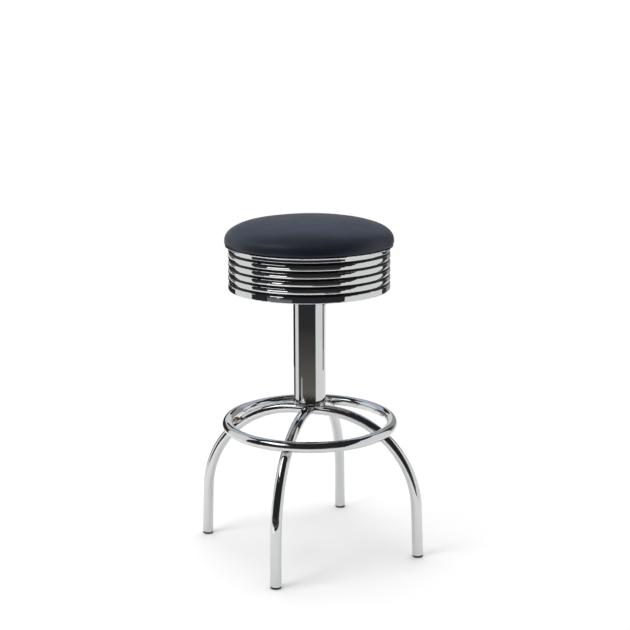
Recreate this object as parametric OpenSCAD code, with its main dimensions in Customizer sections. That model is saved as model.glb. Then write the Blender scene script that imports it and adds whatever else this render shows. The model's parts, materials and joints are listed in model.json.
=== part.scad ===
// Round swivel bar stool: a padded seat in a ribbed chrome band turns on a
// chrome column, which stands on four bent tube legs tied by a footrest ring.
// Z points up, and the origin is on the floor under the middle of the column.

/* [Legs] */
// Outside diameter of the leg and footrest tube
tube_d = 24; // [20:0.5:28]
// Wall of the leg and footrest tube
tube_wall = 1.5; // [1.2:0.1:2]
// Distance from the middle of the stool to the middle of each foot
foot_reach = 250; // [235:1:265]
// Height of the leg tubes' axis where they cross under the column
hub_height = 321.5; // [310:0.5:335]
// Radius of the long bend in each leg, on the tube's axis
leg_bend_r = 215; // [200:1:218]
// Outward lean of the straight lower end of each leg, in degrees
leg_lean = 2.2; // [0:0.1:4]
// Height of the plastic glide that shows below the end of each leg
glide_show = 5; // [3:0.5:8]

/* [Footrest] */
// Radius of the footrest ring, on the tube's axis
ring_reach = 183; // [170:1:190]
// Gap between the ring and each leg, which the weld fills
weld_gap = 0.2; // [0.1:0.1:0.5]
// Size of the weld where the ring rests on a leg
weld_d = 17; // [12:1:20]

/* [Column] */
// Outside diameter of the column
column_d = 71; // [60:1:80]
// Wall of the column
column_wall = 2; // [1.5:0.5:3]
// Thickness of the collar between the legs and the column
collar_h = 8; // [6:1:12]
// Outside diameter of the collar
collar_d = 72; // [66:1:84]
// Height of the column's open top, above the floor
column_top = 651; // [640:1:652]

/* [Seat band] */
// Height of the band's lower edge above the floor
band_bottom = 597; // [590:1:600]
// Radius of the band over its ribs
band_r = 176.6; // [176:0.1:178]
// Depth of the grooves between the ribs
groove_depth = 2.4; // [1.6:0.1:2.6]
// Height of one groove
groove_h = 5; // [4:0.1:6]
// Distance from one groove to the next
rib_pitch = 16.35; // [15:0.05:17]
// Number of grooves
groove_count = 5; // [5:1:5]
// Height of the plain strip below the lowest groove
plain_h = 14.5; // [12:0.5:15]
// Height of the plain strip above the highest groove, up to the lip
top_strip_h = 10.6; // [9:0.1:11]
// Radius of the lip that flares out under the cushion
lip_r = 182.8; // [180:0.1:184]
// Thickness of the band's sheet
sheet = 1; // [0.8:0.1:1]

/* [Cushion] */
// Height of the top of the cushion above the floor
seat_height = 751; // [740:1:765]
// Radius of the cushion at its widest
cushion_r = 184.3; // [183:0.1:186]
// Height of the cushion's widest line above the floor
bulge_height = 701; // [699:0.5:706]
// Roundness of the crown, seen from the side, where 2 is an ellipse
crown_power = 2.55; // [2:0.05:3]
// Thickness of the vinyl cover
vinyl = 1.2; // [1:0.1:1.4]
// Radius of the seat board
board_r = 168; // [164:1:169]
// Thickness of the seat board
board_h = 15; // [12:1:16]

/* [Swivel] */
// Diameter of the spindle
spindle_d = 25; // [20:0.5:26]
// Clearance round the spindle in its bushes
bush_clearance = 0.04; // [0.02:0.01:0.08]
// Diameter of the bearing balls
ball_d = 6; // [5:0.5:6]
// Number of bearing balls
ball_count = 14; // [10:1:16]
// Radius of the circle that the balls run on
ball_circle_r = 20; // [19.5:0.1:20.5]

/* [Hidden] */

$fn = 96;
touch = 0.1;                 // gap between pieces that rest on each other
run_gap = 0.4;               // gap between a turning piece and a still one
cut = 1;                     // how far a cutting shape runs past a face

chrome = "gainsboro";
steel = "silver";
zinc = "lightsteelblue";
black = "dimgray";
nylon = "whitesmoke";
wood = "burlywood";

tube_r = tube_d / 2;
tube_bore_r = tube_r - tube_wall;

// Leg line: level at the hub, one long bend, then straight down to the floor
bend_z = hub_height - leg_bend_r;
straight_top_z = bend_z + leg_bend_r * sin(leg_lean);
bend_x = foot_reach - straight_top_z * tan(leg_lean) - leg_bend_r * cos(leg_lean);
straight_len = straight_top_z / cos(leg_lean);
level_entry = 2;
level_step = 0.02;

// Ring: rests on the outside of the four bends
ring_off = leg_bend_r + tube_d + weld_gap;
ring_z = bend_z + sqrt(pow(ring_off, 2) - pow(ring_reach - bend_x, 2));
weld_share = (leg_bend_r + tube_r + weld_gap / 2) / ring_off;
weld_x = bend_x + (ring_reach - bend_x) * weld_share;
weld_z = bend_z + (ring_z - bend_z) * weld_share;
drain_d = 4;

// Hub
collar_z = hub_height + tube_r;
column_bottom = collar_z + collar_h;
column_bore_r = column_d / 2 - column_wall;
foot_plug_h = 14;
hub_bolt_d = 10;
hub_bolt_head_d = 16;
hub_bolt_head_h = 10;
bolt_hole_d = 10.6;
bolt_access_d = 18;
saddle_h = 4.5;
saddle_bottom = hub_height + tube_bore_r - saddle_h;

// Swivel, from the column's top upwards
housing_flange_h = 4;
housing_plug_h = 24;
bush_r = spindle_d / 2 + 2.5;
bush_bore_r = spindle_d / 2 + bush_clearance;
bush_flange_r = bush_r + 3;
bush_flange_h = 2;
housing_top = column_top + housing_flange_h;
race_h = 4.5;
race_r = 26;
race_bore_r = 15.5;
groove_r = ball_d / 2 + 0.3;
race_apart = 3;
balls_z = housing_top + race_h + race_apart / 2;
upper_race_z = balls_z + race_apart / 2;
cage_h = 1.4;
head_r = 24;
head_h = 4;
head_z = upper_race_z + race_h;
plate_z = head_z + head_h;
plate_h = 3;
plate_w = 150;
plate_corner_r = 12;
plate_rim_h = 9;
plate_bolt_span = 112;
board_z = plate_z + plate_h;
board_top = board_z + board_h;

// Spindle's lower end
carrier_z = 560;
carrier_h = 12;
washer_h = 2;
washer_z = carrier_z - bush_flange_h - run_gap - washer_h;
washer_r = 19;
circlip_h = 1.3;
circlip_z = washer_z - circlip_h - touch;
circlip_groove = 1;
circlip_r = 16;
spindle_bottom = circlip_z - 6;

// Band, with heights counted from its lower edge
groove_floor_r = band_r - groove_depth;
rib_tilt = 22;
rib_edge_r = 1.2;
lip_bend_r = 4.2;
lip_under_h = plain_h + groove_h + (groove_count - 1) * rib_pitch + top_strip_h;
band_top = band_bottom + lip_under_h + sheet;
hem_w = 5;
hem_bend_r = 2.4;
seam_w = 0.5;
inlay_h = 0.7;
splice_half_angle = 6;

// Cushion
crown_h = seat_height - bulge_height;
crown_steps = 22;
tuck_r = 178;
tuck_z = band_top + touch;
hem_r = 145;
hem_z = board_z - vinyl;
cover_edge_r = board_r + vinyl;

// Fasteners
plate_bolt_d = 8;
plate_bolt_head_w = 13;
plate_bolt_head_h = 5.3;
tee_nut_r = 11;
tee_nut_flange_h = 1.4;
tee_nut_barrel_r = 5.2;
bracket_count = 4;
bracket_half_angle = 3.3;
bracket_t = 1.5;
bracket_drop = 20;
bracket_in_r = 148;
bracket_z = hem_z - touch - bracket_t;
bracket_screw_r = 160;
screw_d = 4;
screw_head_r = 4;
screw_head_h = 2.2;
screw_len = 14;
staple_count = 24;
staple_r = 152;
staple_w = 10;
staple_wire = 0.8;
staple_leg = 6;

// Points of an arc in a profile, from angle a0 to angle a1
function arc(x, y, r, a0, a1, steps) =
    [for (i = [0 : steps]) [x + r * cos(a0 + (a1 - a0) * i / steps),
                            y + r * sin(a0 + (a1 - a0) * i / steps)]];

// ---------------------------------------------------------------- legs

// A solid bar along one leg's line, in the XZ plane, towards +X. Its level
// stretch is a hair thinner, so that it runs into the bend without a seam.
module leg_bar(r, over = 0) {
    translate([0, 0, hub_height]) rotate([0, 90, 0])
        cylinder(h = bend_x + level_entry, r = r - level_step);
    translate([bend_x, 0, bend_z]) rotate([90, 0, 0]) rotate([0, 0, leg_lean]) {
        rotate_extrude(angle = 90 - leg_lean) translate([leg_bend_r, 0]) circle(r);
        translate([leg_bend_r, 0, 0]) rotate([90, 0, 0])
            cylinder(h = straight_len - glide_show + over, r = r);
    }
}

// The upright holes for the bolt that holds the column on the legs
module hub_bolt_holes() {
    translate([0, 0, hub_height]) cylinder(h = tube_d, d = bolt_hole_d);
    translate([0, 0, hub_height - tube_d]) cylinder(h = tube_d, d = bolt_access_d);
}

module side_leg_arch() {
    color(chrome) difference() {
        union() {
            leg_bar(tube_r);
            rotate([0, 0, 180]) leg_bar(tube_r);
        }
        leg_bar(tube_bore_r, cut);
        rotate([0, 0, 180]) leg_bar(tube_bore_r, cut);
        hub_bolt_holes();
    }
}

// A leg along +X whose inner end is coped to the arch that runs along Y
module coped_leg() {
    difference() {
        leg_bar(tube_r);
        leg_bar(tube_bore_r, cut);
        translate([0, 0, hub_height]) rotate([90, 0, 0]) cylinder(h = 4 * tube_r, r = tube_r, center = true);
        hub_bolt_holes();
    }
}

module front_leg() {
    color(chrome) rotate([0, 0, -90]) coped_leg();
}

module rear_leg() {
    color(chrome) rotate([0, 0, 90]) coped_leg();
}

// Plastic foot: a ribbed stem inside the tube and a domed pad, flat on the floor
module glide(turn) {
    pad_r = tube_r - 0.2;
    pad_round = 2.6;
    pad_low = -0.45;
    stem_r = tube_bore_r - 0.5;
    stem_top = glide_show + 18;
    color(black) rotate([0, 0, turn]) intersection() {
        translate([foot_reach, 0, 0]) rotate([0, -leg_lean, 0]) {
            rotate_extrude() polygon(concat(
                [[0, pad_low], [pad_r - pad_round, pad_low]],
                arc(pad_r - pad_round, pad_low + pad_round, pad_round, -90, 0, 8),
                [[pad_r, glide_show], [stem_r, glide_show], [stem_r, stem_top - 1.5],
                 [stem_r - 1.5, stem_top], [0, stem_top]]));
            for (z = [glide_show + 4 : 4 : stem_top - 4])
                translate([0, 0, z]) cylinder(h = 1.2, r = tube_bore_r - 0.05);
        }
        translate([foot_reach - tube_d, -tube_d, 0]) cube([2 * tube_d, 2 * tube_d, stem_top + cut]);
    }
}

module front_glide() {
    glide(-90);
}

module rear_glide() {
    glide(90);
}

module left_glide() {
    glide(180);
}

module right_glide() {
    glide(0);
}

// ------------------------------------------------------------ footrest

// The ring's tube has a small plating drain hole in its underside
module footrest_ring() {
    color(chrome) difference() {
        translate([0, 0, ring_z]) rotate_extrude() translate([ring_reach, 0]) difference() {
            circle(tube_r);
            circle(tube_bore_r);
        }
        rotate([0, 0, 45]) translate([ring_reach, 0, ring_z - 2 * tube_r])
            cylinder(h = 2 * tube_r, d = drain_d);
    }
}

// Fillets of weld between the ring and the legs, round each point of contact
module ring_welds() {
    color(steel) for (turn = [0 : 90 : 270]) rotate([0, 0, turn]) difference() {
        translate([weld_x, 0, weld_z]) sphere(d = weld_d);
        translate([0, 0, ring_z]) rotate_extrude($fn = 360) translate([ring_reach, 0]) circle(tube_r);
        leg_bar(tube_r, $fn = 360);
    }
}

// -------------------------------------------------------------- column

module hub_collar() {
    edge = 0.8;
    color(chrome) translate([0, 0, collar_z]) rotate_extrude() polygon([
        [bolt_hole_d / 2, 0], [collar_d / 2 - edge, 0], [collar_d / 2, edge],
        [collar_d / 2, collar_h - edge], [collar_d / 2 - edge, collar_h], [bolt_hole_d / 2, collar_h]]);
}

module column_tube() {
    color(chrome) translate([0, 0, column_bottom]) difference() {
        cylinder(h = column_top - column_bottom, d = column_d);
        translate([0, 0, -cut]) cylinder(h = column_top - column_bottom + 2 * cut, r = column_bore_r);
    }
}

module column_foot_plug() {
    color(steel) translate([0, 0, column_bottom]) difference() {
        cylinder(h = foot_plug_h, r = column_bore_r);
        translate([0, 0, -cut]) cylinder(h = foot_plug_h + 2 * cut, d = hub_bolt_d + touch);
    }
}

// Socket screw that goes up through the arch and the collar into the plug
module hub_bolt() {
    socket_w = 8;
    socket_h = 5;
    color(zinc) difference() {
        union() {
            translate([0, 0, saddle_bottom - hub_bolt_head_h])
                cylinder(h = hub_bolt_head_h, d = hub_bolt_head_d);
            translate([0, 0, saddle_bottom])
                cylinder(h = column_bottom + foot_plug_h - saddle_bottom, d = hub_bolt_d);
        }
        translate([0, 0, saddle_bottom - hub_bolt_head_h - cut])
            cylinder(h = socket_h + cut, d = socket_w / cos(30), $fn = 6);
    }
}

// Washer inside the arch, flat for the bolt's head and curved to fit the tube
module bolt_saddle() {
    color(zinc) difference() {
        intersection() {
            translate([0, 0, saddle_bottom]) cylinder(h = tube_r, d = bolt_access_d - 1);
            translate([0, 0, hub_height]) rotate([0, 90, 0])
                cylinder(h = tube_d, r = tube_bore_r - touch, center = true);
        }
        translate([0, 0, saddle_bottom - cut]) cylinder(h = tube_d, d = bolt_hole_d);
    }
}

// ------------------------------------------------------------- bearing

module bearing_housing() {
    color(steel) rotate_extrude() polygon([
        [bush_r, column_top - housing_plug_h], [column_bore_r, column_top - housing_plug_h],
        [column_bore_r, column_top], [column_d / 2, column_top],
        [column_d / 2, housing_top], [bush_r, housing_top]]);
}

// A flanged nylon bush with its flange below
module bush(bottom, height) {
    color(nylon) rotate_extrude() polygon([
        [bush_bore_r, bottom - bush_flange_h], [bush_flange_r, bottom - bush_flange_h],
        [bush_flange_r, bottom], [bush_r, bottom], [bush_r, bottom + height], [bush_bore_r, bottom + height]]);
}

module upper_bush() {
    bush(column_top - housing_plug_h, housing_plug_h + housing_flange_h);
}

module lower_bush_carrier() {
    color(steel) translate([0, 0, carrier_z]) difference() {
        cylinder(h = carrier_h, r = column_bore_r);
        translate([0, 0, -cut]) cylinder(h = carrier_h + 2 * cut, r = bush_r);
    }
}

module lower_bush() {
    bush(carrier_z, carrier_h);
}

// A bearing race from height z up, with the balls' groove cut into it
module race(z) {
    color(steel) difference() {
        translate([0, 0, z]) cylinder(h = race_h, r = race_r);
        translate([0, 0, z - cut]) cylinder(h = race_h + 2 * cut, r = race_bore_r);
        translate([0, 0, balls_z]) rotate_extrude() translate([ball_circle_r, 0]) circle(groove_r);
    }
}

module lower_race() {
    race(housing_top);
}

module upper_race() {
    race(upper_race_z);
}

module at_balls() {
    for (turn = [0 : 360 / ball_count : 359])
        rotate([0, 0, turn]) translate([ball_circle_r, 0, balls_z]) children();
}

module bearing_balls() {
    color(steel) at_balls() sphere(d = ball_d);
}

module ball_cage() {
    cage_rim = 1.5;
    color("goldenrod") difference() {
        translate([0, 0, balls_z - cage_h / 2]) cylinder(h = cage_h, r = race_r - cage_rim);
        translate([0, 0, balls_z - cage_h]) cylinder(h = 2 * cage_h, r = race_bore_r);
        at_balls() cylinder(h = 2 * cage_h, d = ball_d + 2 * touch, center = true);
    }
}

// Shaft under the seat, with a head that sits on the upper race
module spindle() {
    end_edge = 1.5;
    shaft_r = spindle_d / 2;
    color(steel) rotate_extrude() polygon([
        [0, spindle_bottom], [shaft_r - end_edge, spindle_bottom], [shaft_r, spindle_bottom + end_edge],
        [shaft_r, circlip_z], [shaft_r - circlip_groove, circlip_z],
        [shaft_r - circlip_groove, circlip_z + circlip_h], [shaft_r, circlip_z + circlip_h],
        [shaft_r, head_z], [head_r, head_z], [head_r, plate_z], [shaft_r, plate_z],
        [shaft_r, board_z - touch], [0, board_z - touch]]);
}

module retaining_washer() {
    color(zinc) translate([0, 0, washer_z]) difference() {
        cylinder(h = washer_h, r = washer_r);
        translate([0, 0, -cut]) cylinder(h = washer_h + 2 * cut, r = spindle_d / 2 + touch);
    }
}

// Open spring ring in the spindle's groove
module circlip() {
    opening_w = 9;
    color(black) translate([0, 0, circlip_z]) difference() {
        cylinder(h = circlip_h, r = circlip_r);
        translate([0, 0, -cut])
            cylinder(h = circlip_h + 2 * cut, r = spindle_d / 2 - circlip_groove + touch / 2);
        translate([0, -opening_w / 2, -cut]) cube([circlip_r + cut, opening_w, circlip_h + 2 * cut]);
    }
}

// -------------------------------------------------------- seat support

module at_plate_bolts() {
    for (x = [-1, 1], y = [-1, 1])
        translate([x * plate_bolt_span / 2, y * plate_bolt_span / 2, 0]) children();
}

module round_square(w, r) {
    square([w, w - 2 * r], center = true);
    square([w - 2 * r, w], center = true);
    for (x = [-1, 1], y = [-1, 1])
        translate([x * (w / 2 - r), y * (w / 2 - r)]) circle(r);
}

// Pressed plate under the board, with two edges turned down to stiffen it
module seat_plate() {
    rim_len = plate_w - 2 * plate_corner_r;
    color(zinc) difference() {
        union() {
            translate([0, 0, plate_z]) linear_extrude(plate_h) round_square(plate_w, plate_corner_r);
            for (side = [-1, 1])
                translate([-rim_len / 2, side * (plate_w - plate_h) / 2 - plate_h / 2, plate_z - plate_rim_h])
                    cube([rim_len, plate_h, plate_rim_h + plate_h / 2]);
        }
        translate([0, 0, plate_z - cut]) cylinder(h = plate_h + 2 * cut, d = spindle_d + touch);
        at_plate_bolts() translate([0, 0, plate_z - cut])
            cylinder(h = plate_h + 2 * cut, d = plate_bolt_d + 0.5);
    }
}

module plate_bolts() {
    color(zinc) at_plate_bolts() {
        translate([0, 0, plate_z - plate_bolt_head_h])
            cylinder(h = plate_bolt_head_h, d = plate_bolt_head_w / cos(30), $fn = 6);
        translate([0, 0, plate_z]) cylinder(h = plate_h + board_h - touch, d = plate_bolt_d);
    }
}

module tee_nuts() {
    color(zinc) at_plate_bolts() difference() {
        union() {
            translate([0, 0, board_top]) cylinder(h = tee_nut_flange_h, r = tee_nut_r);
            translate([0, 0, board_z + 2]) cylinder(h = board_h - 2, r = tee_nut_barrel_r);
        }
        translate([0, 0, board_z]) cylinder(h = 2 * board_h, d = plate_bolt_d);
    }
}

module at_brackets() {
    for (i = [0 : bracket_count - 1])
        rotate([0, 0, 45 + i * 360 / bracket_count]) children();
}

module at_bracket_screws() {
    at_brackets() translate([bracket_screw_r, 0, 0]) children();
}

module seat_board() {
    color(wood) difference() {
        translate([0, 0, board_z]) cylinder(h = board_h, r = board_r);
        at_plate_bolts() translate([0, 0, board_z - cut])
            cylinder(h = board_h + 2 * cut, r = tee_nut_barrel_r);
        at_bracket_screws() translate([0, 0, board_z - cut]) cylinder(h = screw_len + cut, d = screw_d);
    }
}

// ------------------------------------------------------------- cushion

// Half outline of the crowned top, drawn inwards by inset, from edge to middle
function crown(inset) =
    [for (i = [0 : crown_steps]) let (t = 90 * i / crown_steps)
        [(cushion_r - inset) * pow(cos(t), 2 / crown_power),
         bulge_height + (crown_h - inset) * pow(sin(t), 2 / crown_power)]];

// Half outline of the bulge below the widest line, from the tuck to the edge
function bulge(inset) =
    [for (i = [0 : 6]) let (t = 90 * i / 6)
        [tuck_r - inset + (cushion_r - tuck_r) * sin(t),
         bulge_height - (bulge_height - tuck_z - inset) * cos(t)]];

module foam_pad() {
    color("khaki") difference() {
        rotate_extrude() polygon(concat(
            [[0, board_top], [board_r, board_top], [board_r, tuck_z + vinyl]],
            bulge(vinyl), crown(vinyl)));
        at_plate_bolts() translate([0, 0, board_top - cut])
            cylinder(h = tee_nut_flange_h + touch + cut, r = tee_nut_r + touch);
    }
}

// Cover: over the foam, down the board's edge and in under the board
module vinyl_cover() {
    color(black) difference() {
        rotate_extrude() polygon(concat(
            [[hem_r, hem_z], [cover_edge_r, hem_z], [cover_edge_r, tuck_z]],
            bulge(0), crown(0), [[0, seat_height - vinyl]],
            [for (i = [crown_steps - 1 : -1 : 0]) crown(vinyl)[i]],
            [for (i = [5 : -1 : 0]) bulge(vinyl)[i]],
            [[board_r, tuck_z + vinyl], [board_r, board_z], [hem_r, board_z]]));
        at_bracket_screws() translate([0, 0, hem_z - cut]) cylinder(h = vinyl + 2 * cut, d = screw_d);
    }
}

module cover_staples() {
    color(steel) for (i = [0 : staple_count - 1])
        rotate([0, 0, (i + 0.5) * 360 / staple_count]) translate([staple_r, 0, hem_z]) {
            translate([0, 0, -staple_wire / 2]) cube([staple_wire, staple_w, staple_wire], center = true);
            for (side = [-1, 1])
                translate([0, side * (staple_w - staple_wire) / 2, staple_leg / 2 - staple_wire])
                    cube([staple_wire, staple_wire, staple_leg], center = true);
        }
}

// ---------------------------------------------------------------- band

// Outline of one rib from z0 to z1, drawn inwards by inset: a shallow crown
// between two tight corners
function rib(z0, z1, inset) =
    let (tilt = rib_tilt, edge = rib_edge_r,
         crown_r = ((z1 - z0) / 2 - edge + edge * sin(tilt)) / sin(tilt),
         corner_x = band_r - crown_r + (crown_r - edge) * cos(tilt)) concat(
    [[groove_floor_r - inset, z0 + inset]],
    arc(corner_x, z0 + edge, edge - inset, -90, -tilt, 4),
    arc(band_r - crown_r, (z0 + z1) / 2, crown_r - inset, -tilt, tilt, 8),
    arc(corner_x, z1 - edge, edge - inset, tilt, 90, 4),
    [[groove_floor_r - inset, z1 - inset]]);

function groove_z(i) = plain_h + i * rib_pitch;

// Outline of the band from its hem to its lip, drawn inwards by inset
function band_line(inset) = concat(
    [[band_r - hem_w, inset]],
    arc(band_r - hem_bend_r, hem_bend_r, hem_bend_r - inset, -90, 0, 5),
    arc(band_r - groove_depth, plain_h - groove_depth, groove_depth - inset, 0, 90, 5),
    [[groove_floor_r - inset, plain_h - inset]],
    [for (i = [0 : groove_count - 2], p = rib(groove_z(i) + groove_h, groove_z(i + 1), inset)) p],
    [[groove_floor_r - inset, groove_z(groove_count - 1) + groove_h + inset]],
    arc(band_r - groove_depth, groove_z(groove_count - 1) + groove_h + groove_depth,
        groove_depth - inset, -90, 0, 5),
    arc(band_r + lip_bend_r, lip_under_h - lip_bend_r, lip_bend_r + inset, 180, 90, 6),
    [[lip_r, lip_under_h + inset]]);

function reversed(points) = [for (i = [len(points) - 1 : -1 : 0]) points[i]];

// The narrow slit at the rear where the rolled band's ends meet
module seam_cut() {
    translate([-seam_w / 2, band_r - 10, band_bottom - cut]) cube([seam_w, 20, lip_under_h + 5]);
}

module rib_band() {
    color(chrome) difference() {
        translate([0, 0, band_bottom]) rotate_extrude($fn = 180)
            polygon(concat(band_line(0), reversed(band_line(sheet))));
        seam_cut();
    }
}

// Black strips that lie in the grooves
module band_inlays() {
    color(black) difference() {
        for (i = [0 : groove_count - 1])
            translate([0, 0, band_bottom + groove_z(i) + touch]) rotate_extrude($fn = 180)
                translate([groove_floor_r, 0]) square([inlay_h, groove_h - 2 * touch]);
        seam_cut();
    }
}

// Strip spot-welded behind the seam to join the band's ends
module band_splice() {
    inner_r = groove_floor_r - sheet - touch;
    splice_z = band_bottom + plain_h;
    splice_h = (groove_count - 1) * rib_pitch + groove_h;
    color(steel) translate([0, 0, splice_z]) rotate([0, 0, 90 - splice_half_angle])
        rotate_extrude(angle = 2 * splice_half_angle)
            translate([inner_r - sheet, 0]) square([sheet, splice_h]);
}

// Angle brackets, spot-welded inside the band, that carry the board
module band_brackets() {
    outer_r = groove_floor_r - sheet - touch;
    color(zinc) difference() {
        at_brackets() rotate([0, 0, -bracket_half_angle]) rotate_extrude(angle = 2 * bracket_half_angle)
            polygon([[bracket_in_r, bracket_z], [outer_r - bracket_t, bracket_z],
                [outer_r - bracket_t, bracket_z - bracket_drop], [outer_r, bracket_z - bracket_drop],
                [outer_r, bracket_z + bracket_t], [bracket_in_r, bracket_z + bracket_t]]);
        at_bracket_screws() translate([0, 0, bracket_z - cut]) cylinder(h = bracket_t + 2 * cut, d = screw_d);
    }
}

module bracket_screws() {
    slot_w = 1;
    slot_h = 1.2;
    color(zinc) at_bracket_screws() translate([0, 0, bracket_z]) difference() {
        union() {
            translate([0, 0, -screw_head_h]) cylinder(h = screw_head_h, r = screw_head_r);
            cylinder(h = screw_len, d = screw_d);
        }
        for (turn = [0, 90]) rotate([0, 0, turn])
            translate([0, 0, -screw_head_h + (slot_h - cut) / 2])
                cube([screw_head_r, slot_w, slot_h + cut], center = true);
    }
}

side_leg_arch();
front_leg();
rear_leg();
footrest_ring();
ring_welds();
front_glide();
rear_glide();
left_glide();
right_glide();
hub_collar();
column_tube();
column_foot_plug();
hub_bolt();
bolt_saddle();
bearing_housing();
upper_bush();
lower_bush_carrier();
lower_bush();
lower_race();
bearing_balls();
ball_cage();
upper_race();
spindle();
seat_plate();
plate_bolts();
tee_nuts();
retaining_washer();
circlip();
seat_board();
foam_pad();
vinyl_cover();
cover_staples();
rib_band();
band_inlays();
band_splice();
band_brackets();
bracket_screws();
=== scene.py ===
"""Looks of the round swivel bar stool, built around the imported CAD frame."""

import json
import math

import bmesh
import bpy
from mathutils import Matrix, Vector
from mathutils.bvhtree import BVHTree


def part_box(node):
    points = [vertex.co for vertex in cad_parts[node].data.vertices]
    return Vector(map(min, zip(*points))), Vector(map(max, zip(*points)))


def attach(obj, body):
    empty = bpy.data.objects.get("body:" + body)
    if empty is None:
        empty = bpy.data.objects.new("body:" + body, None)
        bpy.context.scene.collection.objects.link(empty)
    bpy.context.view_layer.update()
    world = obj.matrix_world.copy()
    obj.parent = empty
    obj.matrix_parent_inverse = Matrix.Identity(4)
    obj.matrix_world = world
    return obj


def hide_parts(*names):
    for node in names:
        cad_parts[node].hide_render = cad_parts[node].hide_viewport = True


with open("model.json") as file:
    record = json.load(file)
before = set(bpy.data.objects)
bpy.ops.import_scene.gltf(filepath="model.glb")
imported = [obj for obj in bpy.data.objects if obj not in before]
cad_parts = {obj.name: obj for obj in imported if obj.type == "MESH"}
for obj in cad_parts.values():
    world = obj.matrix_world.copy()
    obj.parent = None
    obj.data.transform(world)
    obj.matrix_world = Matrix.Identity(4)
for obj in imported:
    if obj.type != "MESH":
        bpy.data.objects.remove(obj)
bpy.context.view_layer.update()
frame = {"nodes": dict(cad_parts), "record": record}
nodes = frame["nodes"]
scene = bpy.context.scene

# ------------------------------------------------------------------ camera

AZIMUTH = math.radians(17.04)      # turn of the stool to the camera
CAMERA_DISTANCE = 2.8394           # metres, level, from the stool's axis
CAMERA_HEIGHT = 1.1701
PITCH = math.radians(12.60)        # downward tilt
YAW = math.radians(0.246)          # the camera aims a little right of the stool
ROLL = math.radians(-0.18)
LENS = 75.743                      # millimetres
SENSOR_WIDTH = 36.0                # millimetres

TO_CAMERA = Vector((math.sin(AZIMUTH), -math.cos(AZIMUTH), 0.0))
TO_RIGHT = Vector((math.cos(AZIMUTH), math.sin(AZIMUTH), 0.0))
UP = Vector((0.0, 0.0, 1.0))


def make_camera():
    data = bpy.data.cameras.new("camera")
    data.lens = LENS
    data.sensor_width = SENSOR_WIDTH
    data.clip_start = 0.05
    data.clip_end = 100.0
    cam = bpy.data.objects.new("camera", data)
    scene.collection.objects.link(cam)
    level = TO_RIGHT * math.sin(YAW) - TO_CAMERA * math.cos(YAW)
    forward = level * math.cos(PITCH) - UP * math.sin(PITCH)
    right = forward.cross(UP).normalized()
    up = right.cross(forward).normalized()
    rolled_right = right * math.cos(ROLL) + up * math.sin(ROLL)
    rolled_up = up * math.cos(ROLL) - right * math.sin(ROLL)
    turn = Matrix((rolled_right, rolled_up, -forward)).transposed()
    place = TO_CAMERA * CAMERA_DISTANCE + UP * CAMERA_HEIGHT
    cam.matrix_world = Matrix.Translation(place) @ turn.to_4x4()
    scene.camera = cam


make_camera()
scene.view_settings.view_transform = "Standard"
scene.view_settings.look = "None"


# --------------------------------------------------------------- node tools

def new_material(name):
    material = bpy.data.materials.new(name)
    material.use_nodes = True
    tree = material.node_tree
    tree.nodes.clear()
    output = tree.nodes.new("ShaderNodeOutputMaterial")
    return material, tree, output


def add(tree, kind, **inputs):
    """A node of that kind, with its sockets set by name, and its settings too."""
    node = tree.nodes.new(kind)
    for key, value in inputs.items():
        name = key.replace("_", " ")
        sockets = {s.name.lower(): s for s in reversed(node.inputs)}
        if name.lower() in sockets:
            socket = sockets[name.lower()]
            if isinstance(value, bpy.types.NodeSocket):
                tree.links.new(value, socket)
            else:
                socket.default_value = value
        else:
            setattr(node, key, value)
    return node


def noise(tree, vector, scale, detail=3.0, roughness=0.5):
    made = add(tree, "ShaderNodeTexNoise", scale=scale, detail=detail, roughness=roughness)
    tree.links.new(vector, made.inputs["Vector"])
    return made.outputs["Fac"]


def remap(tree, value, low, high, to_low, to_high):
    made = tree.nodes.new("ShaderNodeMapRange")
    made.inputs["From Min"].default_value = low
    made.inputs["From Max"].default_value = high
    made.inputs["To Min"].default_value = to_low
    made.inputs["To Max"].default_value = to_high
    tree.links.new(value, made.inputs["Value"])
    return made.outputs["Result"]


def ramp(tree, value, stops):
    made = tree.nodes.new("ShaderNodeValToRGB")
    elements = made.color_ramp.elements
    while len(elements) > 1:
        elements.remove(elements[-1])
    elements[0].position, elements[0].color = stops[0][0], (*stops[0][1], 1)
    for position, colour in stops[1:]:
        elements.new(position).color = (*colour, 1)
    tree.links.new(value, made.inputs["Fac"])
    return made.outputs["Color"]


def bump(tree, height, strength, distance, normal=None):
    made = tree.nodes.new("ShaderNodeBump")
    made.inputs["Strength"].default_value = strength
    made.inputs["Distance"].default_value = distance
    tree.links.new(height, made.inputs["Height"])
    if normal is not None:
        tree.links.new(normal, made.inputs["Normal"])
    return made.outputs["Normal"]


def object_point(tree):
    return tree.nodes.new("ShaderNodeTexCoord").outputs["Object"]


def stretched(tree, vector, scale):
    made = tree.nodes.new("ShaderNodeMapping")
    made.inputs["Scale"].default_value = scale
    tree.links.new(vector, made.inputs["Vector"])
    return made.outputs["Vector"]


def principled(tree, output, **inputs):
    made = add(tree, "ShaderNodeBsdfPrincipled", **inputs)
    tree.links.new(made.outputs["BSDF"], output.inputs["Surface"])
    return made


# ---------------------------------------------------------------- materials

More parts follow.
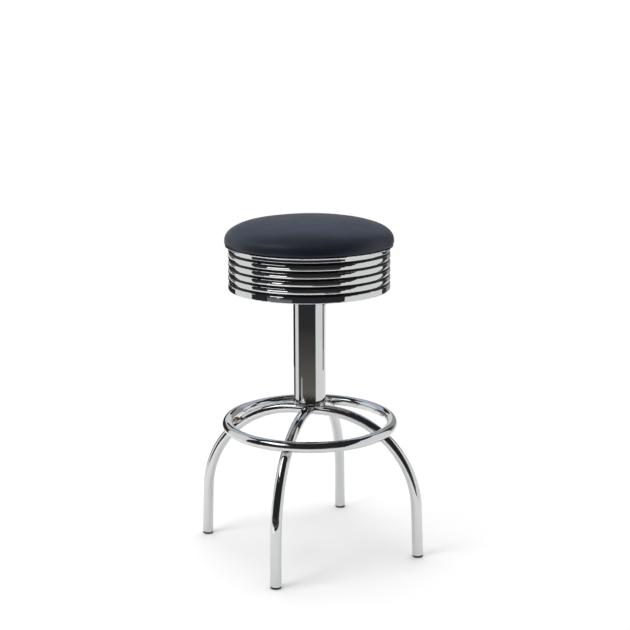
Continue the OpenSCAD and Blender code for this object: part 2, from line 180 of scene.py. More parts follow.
def chrome_material(name, tint, wave, haze):
    """Mirror plating: a slow waviness, faint wipe marks and small pits."""
    material, tree, output = new_material(name)
    point = object_point(tree)
    wipes = noise(tree, stretched(tree, point, (1, 1, 0.25)), 38, 5, 0.6)
    rough = remap(tree, wipes, 0.35, 0.75, haze * 0.4, haze * 1.6)
    pits = noise(tree, point, 900, 2)
    colour = ramp(tree, noise(tree, point, 9, 2), [(0.3, tint), (0.7, [c * 0.97 for c in tint])])
    slow = noise(tree, point, 14, 1)
    normal = bump(tree, slow, wave, 0.002)
    normal = bump(tree, pits, 0.01, 0.0002, normal)
    principled(tree, output, base_color=colour, roughness=rough, normal=normal, metallic=1.0)
    return material


def metal_material(name, light, dark, rough, grain, stretch=(1, 1, 1), bump_strength=0.1):
    """Machined, rolled or zinc-plated metal with a cloudy surface."""
    material, tree, output = new_material(name)
    point = object_point(tree)
    cloud = noise(tree, stretched(tree, point, stretch), grain, 6, 0.65)
    colour = ramp(tree, cloud, [(0.3, dark), (0.7, light)])
    roughness = remap(tree, cloud, 0.3, 0.7, rough * 1.3, rough * 0.8)
    normal = bump(tree, cloud, bump_strength, 0.0003)
    principled(tree, output, base_color=colour, roughness=roughness, normal=normal, metallic=1.0)
    return material


def plastic_material(name, light, dark, rough, grain_scale, grain_bump, gloss=0.5):
    """Moulded plastic, or a dark oily finish: a fine grain with a patchy sheen."""
    material, tree, output = new_material(name)
    point = object_point(tree)
    grain = noise(tree, point, grain_scale, 4, 0.6)
    patch = noise(tree, point, grain_scale * 0.06, 3)
    colour = ramp(tree, patch, [(0.35, dark), (0.65, light)])
    roughness = remap(tree, patch, 0.3, 0.7, rough * 0.85, rough * 1.15)
    normal = bump(tree, grain, grain_bump, 0.0002)
    principled(tree, output, base_color=colour, roughness=roughness, normal=normal,
               specular_ior_level=gloss)
    return material


def vinyl_material():
    """Smooth black upholstery vinyl: a fine leather print under a soft sheen, with a painted
    bluish reflection in its colour and its specular tint.
    """
    material, tree, output = new_material("black_vinyl")
    point = object_point(tree)
    cells = add(tree, "ShaderNodeTexVoronoi", scale=620.0, feature="SMOOTH_F1")
    tree.links.new(point, cells.inputs["Vector"])
    creases = noise(tree, point, 240, 5, 0.6)
    patch = noise(tree, point, 6, 3)
    # Painted reflection: the blue in these near-black tones stands in for bluish light from above
    # and behind, seen as a sheen on black vinyl.
    colour = ramp(tree, patch, [(0.3, (0.0122, 0.0144, 0.0212)), (0.7, (0.0145, 0.0169, 0.0242))])
    roughness = remap(tree, noise(tree, point, 30, 4), 0.3, 0.7, 0.42, 0.48)
    normal = bump(tree, cells.outputs["Distance"], 0.12, 0.0004)
    normal = bump(tree, creases, 0.08, 0.0004, normal)
    # Painted reflection: the bluish specular tint colours the vinyl's sheen as if lit from a
    # bluish sky.
    principled(tree, output, base_color=colour, roughness=roughness, normal=normal,
               specular_ior_level=0.40, specular_tint=(0.70, 0.83, 1.0, 1))
    return material


def plywood_material():
    """Raw plywood with long growth rings and fibres along X."""
    material, tree, output = new_material("plywood")
    point = object_point(tree)
    rings = add(tree, "ShaderNodeTexWave", scale=9.0, distortion=9.0, detail=3.0, detail_scale=1.4)
    tree.links.new(stretched(tree, point, (1, 6, 1)), rings.inputs["Vector"])
    fibre = noise(tree, stretched(tree, point, (14, 300, 300)), 1.0, 6)
    colour = ramp(tree, rings.outputs["Fac"],
                  [(0.1, (0.46, 0.31, 0.17)), (0.9, (0.62, 0.46, 0.28))])
    roughness = remap(tree, fibre, 0.3, 0.7, 0.55, 0.75)
    normal = bump(tree, fibre, 0.25, 0.0004)
    principled(tree, output, base_color=colour, roughness=roughness, normal=normal)
    return material


def foam_material():
    """Open-celled yellow foam, with painted shade in the hollows of its cells."""
    material, tree, output = new_material("seat_foam")
    point = object_point(tree)
    cells = add(tree, "ShaderNodeTexVoronoi", scale=900.0)
    tree.links.new(point, cells.inputs["Vector"])
    # Painted shade: the foam is darker in the hollows of its cells, where the bump below sinks in.
    colour = ramp(tree, cells.outputs["Distance"],
                  [(0.0, (0.5, 0.42, 0.2)), (0.6, (0.85, 0.77, 0.5))])
    normal = bump(tree, cells.outputs["Distance"], 0.5, 0.001)
    principled(tree, output, base_color=colour, normal=normal, roughness=0.95)
    return material


CHROME_TINT = (0.605, 0.612, 0.615)
chrome = chrome_material("chrome_plate", CHROME_TINT, 0.10, 0.03)
band_chrome = chrome_material("band_chrome", CHROME_TINT, 0.05, 0.03)
turned = metal_material("turned_steel", (0.58, 0.58, 0.58), (0.42, 0.42, 0.43), 0.3, 60,
                        stretch=(1, 1, 20))
ground = metal_material("bearing_steel", (0.66, 0.66, 0.67), (0.55, 0.55, 0.56), 0.15, 90)
zinc = metal_material("zinc_plate", (0.62, 0.66, 0.70), (0.44, 0.48, 0.52), 0.32, 45,
                      bump_strength=0.2)
spring = plastic_material("spring_steel", (0.03, 0.03, 0.032), (0.018, 0.018, 0.02),
                          0.45, 500, 0.1)
brass = metal_material("brass_cage", (0.76, 0.57, 0.26), (0.6, 0.43, 0.18), 0.28, 70)
nylon = plastic_material("white_nylon", (0.82, 0.81, 0.76), (0.76, 0.74, 0.68), 0.5, 400, 0.1)
glide_black = plastic_material("black_glide", (0.022, 0.022, 0.024), (0.012, 0.012, 0.013),
                               0.42, 700, 0.2)
inlay_black = plastic_material("black_inlay", (0.006, 0.006, 0.008), (0.003, 0.003, 0.004),
                               0.35, 600, 0.1, gloss=0.12)
vinyl = vinyl_material()
plywood = plywood_material()
foam = foam_material()
weld_metal = metal_material("plated_weld", (0.70, 0.62, 0.50), (0.40, 0.26, 0.14), 0.18, 120)

SLOT_MATERIAL = {
    "chrome_plate": chrome,
    "plated_weld": weld_metal,
    "turned_steel": turned,
    "bearing_steel": ground,
    "zinc_plate": zinc,
    "spring_steel": spring,
    "brass_cage": brass,
    "white_nylon": nylon,
    "black_glide": glide_black,
    "black_inlay": inlay_black,
    "black_vinyl": vinyl,
    "seat_foam": foam,
    "plywood": plywood,
}
for part in frame["record"]["subparts"]:
    material = SLOT_MATERIAL[part["material_slot"]]
    if part["node"] == "rib_band":
        material = band_chrome
    for slot in nodes[part["node"]].material_slots:
        slot.material = material


# ------------------------------------------------------------------ cushion

VINYL = 0.0012                     # metres, thickness of the cover
SEGMENTS = 192                     # round the seat
CROWN_ROWS, BULGE_ROWS = 40, 8     # of the cover's outside and of the foam
INNER_CROWN_ROWS, INNER_BULGE_ROWS = 36, 7
HEM_R = 0.145                      # inner edge of the hem, under the board
HEM_CORNER_R = 0.0022              # of the cover, round the board's lower edge
TUCK_R = 0.178                     # where the cover goes in behind the band's lip
BULGE_Z = 0.701                    # height of the cushion's widest line
CROWN_POWER = 2.55                 # of the superellipse that the crown follows
STAPLES = 24
PLEAT_DEPTH = 0.0016               # of the hem's gathers between the staples
PUCKER_DEPTH = 0.00045             # of the pulls over the staples
BRACKET_BEARINGS = (45, 135, 225, 315)
BRACKET_CLEAR = 7.5                # degrees each side of a bracket, where the hem is flat
FOAM_GAP = 0.0002                  # between foam and cover
FOAM_CORNER_R = 0.0012
CORNER_HOLD = 0.0008               # each side of the foam's inner corner, to keep it sharp
NUT_PLACE = 0.056                  # the plate's bolts, from the middle along both axes
NUT_CLEAR_R = 0.0135               # of the foam's hollow over a tee nut's flange
NUT_CLEAR_H = 0.0018

VOXEL = 0.0055                     # metres, of the simulated pad
START_LOW = 0.0025                 # how much lower its crown starts
SWELL_CAP = 0.005                  # how far a point of it may move
HELD_HEIGHT = 0.0035               # above the tuck, below which it is held
PRESSURE = 4.0
CLOTH_STIFFNESS = 12
CLOTH_FRAMES = 20
SWELL_ROWS = 48                    # heights at which the swelling is measured
EVENING_PASSES = 10                # that even out the simulated swelling
SWELL_SHARE = 0.7                  # how much of it the cover takes

cover_low, cover_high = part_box("vinyl_cover")
HEM_Z, SEAT_Z, CUSHION_R = cover_low[2], cover_high[2], cover_high[0]
BOARD_R, _, BOARD_TOP_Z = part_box("seat_board")[1]
TUCK_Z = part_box("rib_band")[1][2] + 0.0001


def turned_point(radius, turn, height):
    return Vector((radius * math.cos(turn), radius * math.sin(turn), height))


def crown_points(inset, steps):
    """Half outline of the crown, from the widest line to the middle."""
    points = []
    for i in range(steps + 1):
        turn = math.pi / 2 * i / steps
        out = max(math.cos(turn), 0.0) ** (2 / CROWN_POWER)
        points.append(((CUSHION_R - inset) * out,
                       BULGE_Z + (SEAT_Z - BULGE_Z - inset) * math.sin(turn) ** (2 / CROWN_POWER)))
    return points


def bulge_points(inset, steps):
    """Half outline from the tuck to the widest line."""
    points = []
    for i in range(steps):
        turn = math.pi / 2 * i / steps
        points.append((TUCK_R - inset + (CUSHION_R - TUCK_R) * math.sin(turn),
                       BULGE_Z - (BULGE_Z - TUCK_Z - inset) * math.cos(turn)))
    return points


def corner_points(centre_r, centre_z, radius, start, end, steps):
    """Half outline of a rounded corner."""
    turns = [math.radians(start + (end - start) * i / steps) for i in range(steps + 1)]
    return [(centre_r + radius * math.cos(t), centre_z + radius * math.sin(t)) for t in turns]


def side_points(inset):
    """Half outline from the hem's edge, round the board and up to the tuck."""
    out = BOARD_R + VINYL - inset
    corner = HEM_CORNER_R - inset
    points = [(HEM_R + (out - corner - HEM_R) * i / 8, HEM_Z + inset) for i in range(8)]
    points += corner_points(out - corner, HEM_Z + inset + corner, corner, -90, 0, 4)
    points += [(out, HEM_Z + 0.008), (out, HEM_Z + 0.014), (out, TUCK_Z - 0.001 + inset)]
    points += [(out + 0.0004, TUCK_Z + inset - 0.0002), (out + 0.0012, TUCK_Z + inset)]
    points += [(out + 0.005, TUCK_Z + inset)]
    return points


def turned_rings(outline, shape):
    """A ring of vertices for each point of a half outline, or one vertex on the axis."""
    rings = []
    for radius, height in outline:
        if radius < 1e-6:
            rings.append([shape.verts.new((0, 0, height))])
            continue
        turns = [2 * math.pi * i / SEGMENTS for i in range(SEGMENTS)]
        rings.append([shape.verts.new(turned_point(radius, turn, height)) for turn in turns])
    return rings


def skin(shape, rings, flip=False):
    """Faces between neighbouring rings; a ring of one vertex closes as a fan."""
    for lower, upper in zip(rings, rings[1:]):
        for i in range(SEGMENTS):
            j = (i + 1) % SEGMENTS
            if len(upper) == 1:
                corners = [lower[i], lower[j], upper[0]]
            elif len(lower) == 1:
                corners = [lower[0], upper[j], upper[i]]
            else:
                corners = [lower[i], lower[j], upper[j], upper[i]]
            shape.faces.new(corners[::-1] if flip else corners)


def finished(name, shape, material):
    """A smooth-shaded object from that bmesh, which is freed."""
    mesh = bpy.data.meshes.new(name)
    bmesh.ops.recalc_face_normals(shape, faces=shape.faces)
    shape.to_mesh(mesh)
    shape.free()
    mesh.materials.append(material)
    mesh.polygons.foreach_set("use_smooth", [True] * len(mesh.polygons))
    made = bpy.data.objects.new(name, mesh)
    scene.collection.objects.link(made)
    return made


def applied(thing):
    """The object's mesh with its modifiers applied, which are then taken off."""
    graph = bpy.context.evaluated_depsgraph_get()
    mesh = bpy.data.meshes.new_from_object(thing.evaluated_get(graph), depsgraph=graph)
    thing.modifiers.clear()
    thing.data = mesh
    return mesh


def inflated_pad():
    """The surface of the pad under pressure: a cloth simulation, held where the band holds it."""
    shape = bmesh.new()
    outline = [(0.0, TUCK_Z - 0.006), (BOARD_R, TUCK_Z - 0.006), (BOARD_R, TUCK_Z)]
    outline += bulge_points(0.0, 6) + crown_points(START_LOW * 0.4, 28)
    crown_h = SEAT_Z - BULGE_Z
    outline = [(r, z - START_LOW * max(0.0, (z - BULGE_Z) / crown_h)) for r, z in outline]
    skin(shape, turned_rings(outline, shape))
    pad = finished("pad_simulation", shape, foam)
    remesh = pad.modifiers.new("remesh", "REMESH")
    remesh.mode = "VOXEL"
    remesh.voxel_size = VOXEL
    applied(pad)
    start = [v.co.copy() for v in pad.data.vertices]
    held = pad.vertex_groups.new(name="held")
    for v in pad.data.vertices:
        reach = math.hypot(v.co.x, v.co.y)
        if v.co.z < TUCK_Z + HELD_HEIGHT and reach < CUSHION_R:
            held.add([v.index], 1.0, "REPLACE")
    cloth = pad.modifiers.new("cloth", "CLOTH")
    cloth.settings.quality = 5
    cloth.settings.mass = 0.25
    cloth.settings.use_pressure = True
    cloth.settings.uniform_pressure_force = PRESSURE
    cloth.settings.tension_stiffness = CLOTH_STIFFNESS
    cloth.settings.compression_stiffness = CLOTH_STIFFNESS
    cloth.settings.bending_stiffness = 0.6
    cloth.settings.vertex_group_mass = "held"
    cloth.settings.effector_weights.gravity = 0.0
    cloth.collision_settings.use_collision = False
    cloth.point_cache.frame_start, cloth.point_cache.frame_end = 1, CLOTH_FRAMES
    for step in range(1, CLOTH_FRAMES + 1):
        scene.frame_set(step)
    applied(pad)
    scene.frame_set(1)
    for v, place in zip(pad.data.vertices, start):
        move = v.co - place
        if move.length > SWELL_CAP:
            v.co = place + move.normalized() * SWELL_CAP
    soften = pad.modifiers.new("soften", "SMOOTH")
    soften.factor, soften.iterations = 0.5, 6
    pad.modifiers.new("finer", "SUBSURF").levels = 1
    mesh = applied(pad)
    tree = BVHTree.FromPolygons([v.co for v in mesh.vertices], [p.vertices for p in mesh.polygons])
    bpy.data.objects.remove(pad)
    return tree


def swell(tree, place):
    """How far outside that point the inflated pad's surface is, along a ray from within."""
    centre = Vector((0, 0, TUCK_Z + 0.004))
    ray = (place - centre).normalized()
    hit = tree.ray_cast(centre, ray)[0]
    if not hit:
        return 0.0
    outside = (hit - centre).length > (place - centre).length
    return (hit - place).length * (1 if outside else -1)


def evened_row(row):
    """Each value's mean with its two neighbours on either side, round the seat."""
    count = len(row)
    return [(row[i - 2] + row[i - 1] + row[i] + row[(i + 1) % count] + row[(i + 2) % count]) / 5
            for i in range(count)]


def measured_swell(tree):
    """The swelling on a grid of bearing and height, evened out, less its mean at each height."""
    turns = [2 * math.pi * i / SEGMENTS for i in range(SEGMENTS)]
    rows = [[swell(tree, turned_point(radius, turn, height)) for turn in turns]
            for radius, height in crown_points(0.0, SWELL_ROWS)]
    for _ in range(EVENING_PASSES):
        rows = [evened_row(row) for row in rows]
        below, above = [rows[0]] + rows[:-1], rows[1:] + [rows[-1]]
        rows = [[(a + 2 * b + c) / 4 for a, b, c in zip(*three)]
                for three in zip(below, rows, above)]
    means = [sum(row) / SEGMENTS for row in rows]
    return [[value - mean for value in row] for row, mean in zip(rows, means)]


def smooth_step(value, low, high):
    share = min(max((value - low) / (high - low), 0.0), 1.0)
    return share * share * (3 - 2 * share)


def pleat(turn, radius):
    """Depth of the gathered pleats in the hem, between the staples and clear of the brackets."""
    for bearing in BRACKET_BEARINGS:
        away = abs((math.degrees(turn) - bearing + 180) % 360 - 180)
        if away < BRACKET_CLEAR:
            return 0.0
    wave = math.cos(STAPLES * turn + 0.5 * math.sin(5 * turn))
    inward = smooth_step(BOARD_R - radius, 0.001, 0.018)
    return PLEAT_DEPTH * max(wave - 0.35, 0.0) / 0.65 * inward


def pucker(turn, height):
    """Faint pulls over the staples, which die out up the cushion's side."""
    fade = 1 - smooth_step(height, TUCK_Z + 0.001, BULGE_Z + 0.016)
    uneven = 0.7 + 0.3 * math.sin(3 * turn + 1.1)
    pull = (0.5 + 0.5 * math.cos(STAPLES * (turn + math.pi / STAPLES))) ** 3
    return -PUCKER_DEPTH * uneven * fade * pull


def shape_cover(mesh, rows):
    """Moves a turned cover's vertices to the simulated form, with puckers and pleats."""
    steps = len(rows) - 1
    for v in mesh.vertices:
        x, y, z = v.co
        radius, turn = math.hypot(x, y), math.atan2(y, x) % (2 * math.pi)
        if z >= TUCK_Z - 0.0005 and radius > 1e-6:
            share = min(max((z - BULGE_Z) / (SEAT_Z - BULGE_Z), 0.0), 1.0)
            level = math.asin(min(share ** (CROWN_POWER / 2), 1.0)) / (math.pi / 2) * steps
            row = min(int(level), steps - 1)
            part = level - row
            i = turn / (2 * math.pi) * SEGMENTS
            column = int(i) % SEGMENTS
            value = rows[row][column] * (1 - part) + rows[row + 1][column] * part
            keep = smooth_step(z, TUCK_Z + 0.001, BULGE_Z + 0.003)
            out = Vector((x, y, (z - TUCK_Z) * 2.2)).normalized()
            v.co += out * (SWELL_SHARE * value * keep + pucker(turn, z))
        elif z < HEM_Z + 0.0004 and radius > 1e-6:
            v.co.z -= pleat(turn, radius)


def rounded_subdivision(thing):
    """One step of subdivision, applied to the object's mesh."""
    thing.modifiers.new("finer", "SUBSURF").levels = 1
    thing.modifiers["finer"].render_levels = 1
    applied(thing)
    thing.data.polygons.foreach_set("use_smooth", [True] * len(thing.data.polygons))


def make_cushion():
    rows = measured_swell(inflated_pad())

    shape = bmesh.new()
    outside = side_points(0.0) + bulge_points(0.0, BULGE_ROWS) + crown_points(0.0, CROWN_ROWS)
    inside = side_points(VINYL) + bulge_points(VINYL, INNER_BULGE_ROWS)
    inside += crown_points(VINYL, INNER_CROWN_ROWS)
    outer, inner = turned_rings(outside, shape), turned_rings(inside, shape)
    skin(shape, outer)
    skin(shape, inner, flip=True)
    skin(shape, [outer[0], inner[0]], flip=True)
    cover = finished("seat_cushion_cover", shape, vinyl)
    shape_cover(cover.data, rows)
    rounded_subdivision(cover)
    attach(cover, "seat")
    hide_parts("vinyl_cover")

    inset = VINYL + FOAM_GAP
    shape = bmesh.new()
    floor_z = BOARD_TOP_Z + 0.0001
    lower = [(0.0, floor_z)] + [(BOARD_R * i / 48, floor_z) for i in range(1, 48)]
    lower += corner_points(BOARD_R - FOAM_GAP - FOAM_CORNER_R, floor_z + FOAM_CORNER_R,
                           FOAM_CORNER_R, -90, 0, 3)
    side, shelf = BOARD_R - FOAM_GAP, TUCK_Z + inset
    lower += [(side, shelf - CORNER_HOLD), (side, shelf), (side + CORNER_HOLD, shelf)]
    upper = bulge_points(inset, BULGE_ROWS) + crown_points(inset, CROWN_ROWS)
    skin(shape, turned_rings(lower + upper, shape))
    pad = finished("seat_foam_pad", shape, foam)
    shape_cover(pad.data, rows)
    spots = [(x, y) for x in (-NUT_PLACE, NUT_PLACE) for y in (-NUT_PLACE, NUT_PLACE)]
    for v in pad.data.vertices:
        near = any(math.hypot(v.co.x - x, v.co.y - y) < NUT_CLEAR_R for x, y in spots)
        if near and v.co.z < floor_z + 0.001:
            v.co.z += NUT_CLEAR_H
    rounded_subdivision(pad)
    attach(pad, "seat")
    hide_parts("foam_pad")


make_cushion()


# -------------------------------------------------------------------- welds

LEG_BEND_R = 0.215                 # metres, of a leg's centre line
WELD_GAP = 0.0002                  # between ring and leg
WELD_R = 0.0082                    # of the bead, about the point of contact
WELD_INNER_R = 0.0045
WELD_SINK = 0.00015                # of its edges, into the tubes
WELD_HOLLOW = 0.0009               # of its face
WELD_SEGMENTS = 240
WELD_STEPS = 8                     # across its face
WELD_RIPPLES = 38
RIPPLE_DEPTH = 0.00016


def weld_bead(shape, turn, seed):
    """A closed, rippled bead in the wedge between the ring's tube and a leg's bend."""
    ring_low, ring_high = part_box("footrest_ring")
    tube_r = (ring_high[2] - ring_low[2]) / 2
    ring_r = ring_high[0] - tube_r
    ring_z = (ring_high[2] + ring_low[2]) / 2
    arch_low, arch_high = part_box("side_leg_arch")
    bend_z = arch_high[2] - tube_r - LEG_BEND_R
    apart = LEG_BEND_R + 2 * tube_r + WELD_GAP
    rise = ring_z - bend_z
    normal = Vector((math.sqrt(apart ** 2 - rise ** 2) / apart, 0, rise / apart))
    along = Vector((normal.z, 0, -normal.x))
    across = Vector((0, 1, 0))
    contact = Vector((ring_r, 0, ring_z)) - normal * (tube_r + WELD_GAP / 2)
    off = tube_r + WELD_GAP / 2

    def leg_height(a, b):
        reach = LEG_BEND_R + math.sqrt(tube_r ** 2 - b * b)
        return math.sqrt(reach ** 2 - a * a) - LEG_BEND_R - off

    def ring_height(a, b):
        dip = b * b / (2 * ring_r)
        return off - normal.x * dip - math.sqrt(tube_r ** 2 - (a + along.x * dip) ** 2)

    loops = []
    for i in range(WELD_SEGMENTS):
        phi = 2 * math.pi * i / WELD_SEGMENTS
        wander = 0.00035 * math.sin(2 * phi + seed) + 0.0002 * math.sin(5 * phi + 2.3 * seed)
        loop = []
        for k in range(WELD_STEPS + 1):
            s = k / WELD_STEPS
            hollow = WELD_HOLLOW * 4 * s * (1 - s)
            ripple = RIPPLE_DEPTH * math.sin(WELD_RIPPLES * phi + 3.2 * (s - 0.5) ** 2 * 4 + seed)
            reach = WELD_R + wander - hollow + ripple * min(1.0, 6 * s * (1 - s))
            reach += 0.0006 * (abs(2 * s - 1) ** 3)
            a, b = reach * math.cos(phi), reach * math.sin(phi)
            low, high = leg_height(a, b) - WELD_SINK, ring_height(a, b) + WELD_SINK
            loop.append(along * a + across * b + normal * (low + (high - low) * s))
        a, b = WELD_INNER_R * math.cos(phi), WELD_INNER_R * math.sin(phi)
        loop.append(along * a + across * b + normal * (ring_height(a, b) + WELD_SINK))
        loop.append(along * a + across * b + normal * (leg_height(a, b) - WELD_SINK))
        spin = Matrix.Rotation(turn, 3, "Z")
        loops.append([shape.verts.new(spin @ (contact + point)) for point in loop])
    count = len(loops[0])
    for i in range(WELD_SEGMENTS):
        here, there = loops[i], loops[(i + 1) % WELD_SEGMENTS]
        for k in range(count):
            shape.faces.new([here[k], there[k], there[(k + 1) % count], here[(k + 1) % count]])


def make_welds():
    shape = bmesh.new()
    for i in range(4):
        weld_bead(shape, math.pi / 2 * i, 1.7 * i + 0.4)
    beads = finished("ring_weld_beads", shape, weld_metal)
    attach(beads, "base")
    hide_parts("ring_welds")


make_welds()


# -------------------------------------------------------------------- stage

BOUNCE_REACH = 1.1                 # metres of floor that throw light back on the stool
LIT_REACH, GLOW_REACH = 0.4, 1.3   # where the floor starts to glow by itself, and does so fully
FLOOR_HALF = 18.0
DOME_R = 24.0
WHITE = (1, 1, 1)


def emission_material(name, colour, strength):
    material, tree, output = new_material(name)
    glow = add(tree, "ShaderNodeEmission", color=(*colour, 1), strength=strength)
    tree.links.new(glow.outputs["Emission"], output.inputs["Surface"])
    return material


def mesh_object(name, points, faces, material):
    mesh = bpy.data.meshes.new(name)
    mesh.from_pydata([tuple(p) for p in points], [], faces)
    mesh.materials.append(material)
    made = bpy.data.objects.new(name, mesh)
    scene.collection.objects.link(made)
    return made


def seen_by(thing, camera=False, diffuse=False, glossy=False):
    """Marks a stage object, which casts no shadow, and says which rays see it."""
    thing.visible_camera = camera
    thing.visible_diffuse = diffuse
    thing.visible_glossy = glossy
    thing.visible_transmission = glossy
    thing.visible_shadow = False


def around(bearing, distance, height=0.0):
    """A point at that bearing from the camera's direction, to the image's right, in degrees."""
    turn = math.radians(bearing)
    return (TO_CAMERA * math.cos(turn) + TO_RIGHT * math.sin(turn)) * distance + UP * height


def strip_object(name, edges, colour, strength):
    """A reflector through pairs of lower and upper points, seen in reflections alone."""
    points = [point for pair in edges for point in pair]
    faces = [(2 * i, 2 * i + 2, 2 * i + 3, 2 * i + 1) for i in range(len(edges) - 1)]
    made = mesh_object(name, points, faces, emission_material(name, colour, strength))
    seen_by(made, glossy=True)


def card(name, start, end, distance, low, high, colour, strength, end_high=None, steps=12):
    """An upright curved reflector; its top may slope to end_high."""
    end_high = high if end_high is None else end_high
    edges = []
    for i in range(steps + 1):
        bearing = start + (end - start) * i / steps
        top = high + (end_high - high) * i / steps
        edges.append((around(bearing, distance, low), around(bearing, distance, top)))
    strip_object(name, edges, colour, strength)


def lens_card(name, start, end, distance, middle, half_height, strength, steps=16):
    """A reflector that is pointed at both ends."""
    edges = []
    for i in range(steps + 1):
        bearing = start + (end - start) * i / steps
        half = half_height * math.sin(math.pi * i / steps) ** 0.7 + 0.0005
        edges.append((around(bearing, distance, middle - half),
                      around(bearing, distance, middle + half)))
    strip_object(name, edges, WHITE, strength)


def dark_floor_material():
    """Studio floor past the white sheet, as a glow seen only in reflections: painted light, warm
    and dim, with a brighter warm band, and darker again further out.
    """
    material, tree, output = new_material("dark_floor")
    reach = add(tree, "ShaderNodeVectorMath", operation="LENGTH")
    tree.links.new(object_point(tree), reach.inputs[0])
    colour = ramp(tree, remap(tree, reach.outputs["Value"], 1.0, 3.0, 0, 1),
                  [(0.0, (0.016, 0.014, 0.012)), (0.11, (0.018, 0.016, 0.014)),
                   (0.15, (0.170, 0.152, 0.134)), (0.39, (0.092, 0.086, 0.080)),
                   (0.62, (0.042, 0.041, 0.042)), (1.0, (0.030, 0.032, 0.038))])
    glow = add(tree, "ShaderNodeEmission", color=colour, strength=1.0)
    tree.links.new(glow.outputs["Emission"], output.inputs["Surface"])
    return material


def floor_patch(name, outline, height, material):
    """A flat area of floor that only shiny surfaces see; outline is bearing and distance."""
    points = [around(bearing, distance, height) for bearing, distance in outline]
    seen_by(mesh_object(name, points, [tuple(range(len(points)))], material), glossy=True)


def make_floor():
    """White floor, which glows away from the stool, and a smaller one that lights the stool."""
    material, tree, output = new_material("floor_white")
    grain = noise(tree, object_point(tree), 3, 2)
    colour = ramp(tree, grain, [(0.3, (0.945, 0.945, 0.945)), (0.7, (0.955, 0.955, 0.955))])
    paper = principled(tree, output, base_color=colour, roughness=0.9, specular_ior_level=0.0)
    glow = add(tree, "ShaderNodeEmission", color=(1, 1, 1, 1), strength=1.02)
    reach = add(tree, "ShaderNodeVectorMath", operation="LENGTH")
    tree.links.new(object_point(tree), reach.inputs[0])
    fade = add(tree, "ShaderNodeMapRange", interpolation_type="SMOOTHSTEP",
               value=reach.outputs["Value"], from_min=LIT_REACH, from_max=GLOW_REACH)
    mixed = add(tree, "ShaderNodeMixShader", fac=fade.outputs["Result"])
    tree.links.new(paper.outputs["BSDF"], mixed.inputs[1])
    tree.links.new(glow.outputs["Emission"], mixed.inputs[2])
    tree.links.new(mixed.outputs["Shader"], output.inputs["Surface"])
    half = FLOOR_HALF
    corners = [(-half, -half, 0), (half, -half, 0), (half, half, 0), (-half, half, 0)]
    floor = mesh_object("floor", corners, [(0, 1, 2, 3)], material)
    seen_by(floor, camera=True, glossy=True)
    bounce = [around(bearing, BOUNCE_REACH, -0.002) for bearing in range(-180, 180, 15)]
    seen_by(mesh_object("bounce", bounce, [tuple(range(len(bounce)))], material), diffuse=True)


def make_backdrop():
    """A pale dome behind everything, seen by the camera alone."""
    mesh = bpy.data.meshes.new("backdrop")
    shape = bmesh.new()
    bmesh.ops.create_uvsphere(shape, u_segments=48, v_segments=24, radius=DOME_R)
    shape.to_mesh(mesh)
    shape.free()
    mesh.materials.append(emission_material("backdrop", WHITE, 1.05))
    dome = bpy.data.objects.new("backdrop", mesh)
    scene.collection.objects.link(dome)
    seen_by(dome, camera=True)


def make_world():
    world = bpy.data.worlds.new("studio")
    world.use_nodes = True
    background = world.node_tree.nodes["Background"]
    background.inputs["Color"].default_value = (0.78, 0.79, 0.84, 1)
    background.inputs["Strength"].default_value = 0.036
    scene.world = world


def area_light(name, bearing, distance, height, size, power, aim=0.3):
    """A lamp that lights surfaces but isn't seen in reflections, aimed at that height."""
    data = bpy.data.lights.new(name, "AREA")
    data.shape = "RECTANGLE"
    data.size, data.size_y = size
    data.energy = power
    light = bpy.data.objects.new(name, data)
    scene.collection.objects.link(light)
    place = around(bearing, distance, height)
    light.matrix_world = Matrix.Translation(place) @ (
        Vector((0, 0, aim)) - place).to_track_quat("-Z", "Y").to_matrix().to_4x4()
    light.visible_camera = False
    light.visible_glossy = False


make_floor()
make_backdrop()
make_world()

# Even top light for the white floor, and a soft key from the front left
area_light("top_light", 180, 0.4, 3.2, (4.5, 4.5), 176, aim=0.0)
area_light("key_light", -60, 2.6, 2.2, (1.6, 1.2), 34)

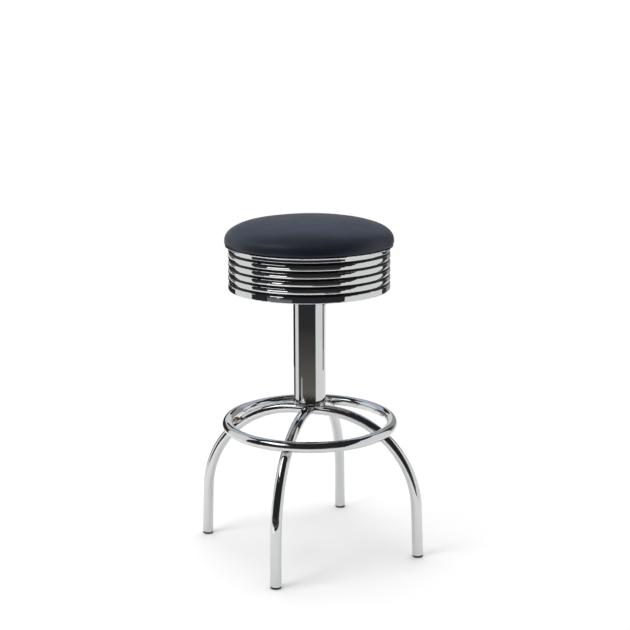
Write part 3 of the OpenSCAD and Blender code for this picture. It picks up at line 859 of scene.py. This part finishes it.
# Glows seen only in reflections: a dark studio floor in front of the white sheet, a painted pool
# of light on it, and reflectors around the stool
floor_patch("dark_floor",
            [(44, 0.95), (44, 2.6), (50, 2.75), (50, 17), (20, 17), (0, 17), (-30, 17), (-60, 17),
             (-86, 17), (-86, 3.0), (-85, 1.2), (-66, 1.15), (-61, 1.2), (-60, 1.5), (-56, 1.5),
             (-54, 1.2), (-28, 1.2), (-25, 1.02), (0, 0.98), (20, 0.95)],
            0.002, dark_floor_material())
# Painted pool of light: a bright patch of floor that glows, seen only in reflections
floor_patch("bright_floor",
            [(-61, 0.72), (-62, 1.22), (-45, 1.24), (-27, 1.2), (-29, 0.72), (-45, 0.70)],
            0.004, emission_material("bright_floor", WHITE, 1.4))
lens_card("left_glow", -51, -23, 0.515, 0.572, 0.036, 2.5)
card("left_dim", -51, -20, 0.53, 0.495, 0.53, (0.95, 0.97, 1.0), 0.22)
card("right_box", 48, 75, 2.0, 0.0, 0.2, WHITE, 1.0, end_high=1.7)
card("right_tall", 75, 123, 2.0, 0.0, 1.7, WHITE, 1.0, end_high=2.3)
card("right_dark", 104, 119, 0.45, 0.355, 0.9, (0.8, 0.9, 1.0), 0.06)
card("right_dim", 104, 119, 0.45, 0.30, 0.355, (0.8, 0.9, 1.0), 0.30)
card("right_grey", 123, 168, 2.0, 0.13, 1.6, WHITE, 0.38)
card("right_back", 123, 150, 2.1, 0.0, 0.2, WHITE, 0.95)
card("back_wall", 150, 205, 2.3, 0.0, 1.1, WHITE, 0.85)
card("back_high", 130, 235, 2.3, 1.5, 3.6, (0.73, 0.84, 1.03), 0.78)
card("back_left", 192, 239, 1.15, 0.12, 0.5, WHITE, 0.03)
card("back_left_low", 205, 239, 1.15, 0.0, 0.12, WHITE, 0.12)
card("back_left_high", 205, 236, 2.3, 0.85, 1.5, WHITE, 0.65)
card("left_box", -126, -86, 4.0, 0.0, 4.2, WHITE, 1.0)
card("key_box", -78, -40, 2.0, 1.9, 3.4, (0.92, 0.96, 1.0), 3.0)
